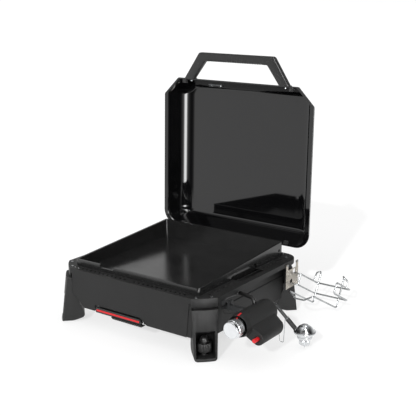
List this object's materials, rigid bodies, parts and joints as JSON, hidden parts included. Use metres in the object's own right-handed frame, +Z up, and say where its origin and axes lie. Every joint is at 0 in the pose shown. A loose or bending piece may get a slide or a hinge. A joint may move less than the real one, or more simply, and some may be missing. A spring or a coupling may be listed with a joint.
{
  "type": "tabletop gas griddle",
  "caption": "Tabletop gas griddle with an open hinged lid, lift-out cooking plate, plastic corner legs, side control pod, regulator and a wire cradle for a gas cylinder.",
  "frame": {"origin": "middle of the whole object's box on the table, with the lid open", "axes": "+X to the cook's right, +Y away from the cook, +Z up"},
  "size_m": [0.7521, 0.6284, 0.7618],
  "materials": {
    "body_paint": "satin powder coat",
    "lid_paint": "gloss enamel",
    "plate_steel": "seasoned satin black",
    "black_plastic": "fine grain",
    "dark_plastic": "smooth satin",
    "red_plastic": "gloss",
    "black_rubber": "matte",
    "chrome": "polished",
    "stainless": "brushed",
    "zinc_steel": "zinc plated",
    "aluminised_steel": "aluminised",
    "dark_steel": "black painted",
    "brass": "machined",
    "ceramic": "glazed ceramic"
  },
  "bodies": {
    "base": {"body_shell": "body_paint", "burner_tub": "body_paint", "heat_shield": "aluminised_steel", "burner": "aluminised_steel", "burner_brackets": "aluminised_steel", "gas_manifold": "dark_steel", "electrode": "ceramic", "tray_runners": "zinc_steel", "leg_front_right": "black_plastic", "leg_front_left": "black_plastic", "leg_rear_right": "black_plastic", "leg_rear_left": "black_plastic", "leg_screws": "zinc_steel", "hinge_leaves": "dark_steel", "hinge_pins": "zinc_steel", "pod_front": "black_plastic", "pod_rear": "black_plastic", "pod_arm": "dark_steel", "arm_clip": "dark_steel", "gas_tube": "dark_plastic", "igniter_lead": "black_rubber", "gas_valve": "brass", "bezel_marks": "red_plastic", "igniter_body": "dark_plastic", "feed_pipe": "dark_steel", "pipe_sleeve": "black_rubber", "regulator_body": "chrome", "regulator_dome": "chrome", "cylinder_bracket": "stainless", "bracket_screws": "zinc_steel", "cylinder_cradle": "zinc_steel"},
    "lid": {"lid_shell": "lid_paint", "lid_handle": "dark_plastic", "handle_screws": "zinc_steel", "badge_plate": "zinc_steel", "lid_bumpers": "black_rubber", "hinge_brackets": "dark_steel", "hinge_screws": "zinc_steel"},
    "plate": {"griddle_plate": "plate_steel"},
    "tray": {"grease_tray": "aluminised_steel", "tray_handle": "dark_plastic", "tray_stripe": "red_plastic"},
    "push_collar": {"spring_collar": "zinc_steel"},
    "control_knob": {"valve_stem": "zinc_steel", "knob": "chrome", "knob_face": "chrome", "knob_marks": "red_plastic"},
    "igniter": {"igniter_button": "red_plastic"},
    "match_holder": {"match_holder": "zinc_steel"},
    "pad_fr": {"foot_pad_fr": "black_rubber"},
    "level_fr": {"level_knob_fr": "dark_plastic"},
    "pad_fl": {"foot_pad_fl": "black_rubber"},
    "level_fl": {"level_knob_fl": "dark_plastic"},
    "pad_rr": {"foot_pad_rr": "black_rubber"},
    "level_rr": {"level_knob_rr": "dark_plastic"},
    "pad_rl": {"foot_pad_rl": "black_rubber"},
    "level_rl": {"level_knob_rl": "dark_plastic"}
  },
  "joints": [
    {"name": "lid_hinge", "type": "hinge", "parent": "base", "child": "lid", "pos_m": [-0.08947, 0.2144, 0.162], "axis": [1, 0, 0], "range_deg": [0, 91.4]},
    {"name": "plate_lift", "type": "slide", "parent": "base", "child": "plate", "axis": [0, 0, 1], "range_m": [0, 0.02]},
    {"name": "tray_slide", "type": "slide", "parent": "base", "child": "tray", "axis": [0, -1, 0], "range_m": [0, 0.06]},
    {"name": "knob_push", "type": "slide", "parent": "base", "child": "push_collar", "axis": [0, 1, 0], "range_m": [0, 0.003], "stiffness_N_per_m": 900},
    {"name": "knob_turn", "type": "hinge", "parent": "push_collar", "child": "control_knob", "pos_m": [0.26053, -0.2686, 0.1127], "axis": [0, -1, 0], "range_deg": [0, 170]},
    {"name": "igniter_push", "type": "slide", "parent": "base", "child": "igniter", "axis": [0, 1, 0], "range_m": [0, 0.005], "stiffness_N_per_m": 500},
    {"name": "foot_slide_fr", "type": "slide", "parent": "base", "child": "pad_fr", "axis": [0, 0, -1], "range_m": [0, 0.005]},
    {"name": "level_turn_fr", "type": "hinge", "parent": "pad_fr", "child": "level_fr", "pos_m": [0.15355, -0.27062, 0], "axis": [0, 0, 1], "range_deg": [0, 1440]},
    {"name": "foot_slide_fl", "type": "slide", "parent": "base", "child": "pad_fl", "axis": [0, 0, -1], "range_m": [0, 0.005]},
    {"name": "level_turn_fl", "type": "hinge", "parent": "pad_fl", "child": "level_fl", "pos_m": [-0.33249, -0.27062, 0], "axis": [0, 0, 1], "range_deg": [0, 1440]},
    {"name": "foot_slide_rr", "type": "slide", "parent": "base", "child": "pad_rr", "axis": [0, 0, -1], "range_m": [0, 0.005]},
    {"name": "level_turn_rr", "type": "hinge", "parent": "pad_rr", "child": "level_rr", "pos_m": [0.14435, 0.16922, 0], "axis": [0, 0, 1], "range_deg": [0, 1440]},
    {"name": "foot_slide_rl", "type": "slide", "parent": "base", "child": "pad_rl", "axis": [0, 0, -1], "range_m": [0, 0.005]},
    {"name": "level_turn_rl", "type": "hinge", "parent": "pad_rl", "child": "level_rl", "pos_m": [-0.32329, 0.16922, 0], "axis": [0, 0, 1], "range_deg": [0, 1440]},
    {"name": "holder_swing", "type": "hinge", "parent": "base", "child": "match_holder", "pos_m": [0.29965, -0.08387, 0.08465], "axis": [0.6073, 0.2407, -0.7572], "range_deg": [-6, 6]}
  ],
  "couplings": [
    {"joint": "foot_slide_fr", "follows": "level_turn_fr", "m_per_rad": 0.00019894},
    {"joint": "foot_slide_fl", "follows": "level_turn_fl", "m_per_rad": 0.00019894},
    {"joint": "foot_slide_rr", "follows": "level_turn_rr", "m_per_rad": 0.00019894},
    {"joint": "foot_slide_rl", "follows": "level_turn_rl", "m_per_rad": 0.00019894}
  ]
}
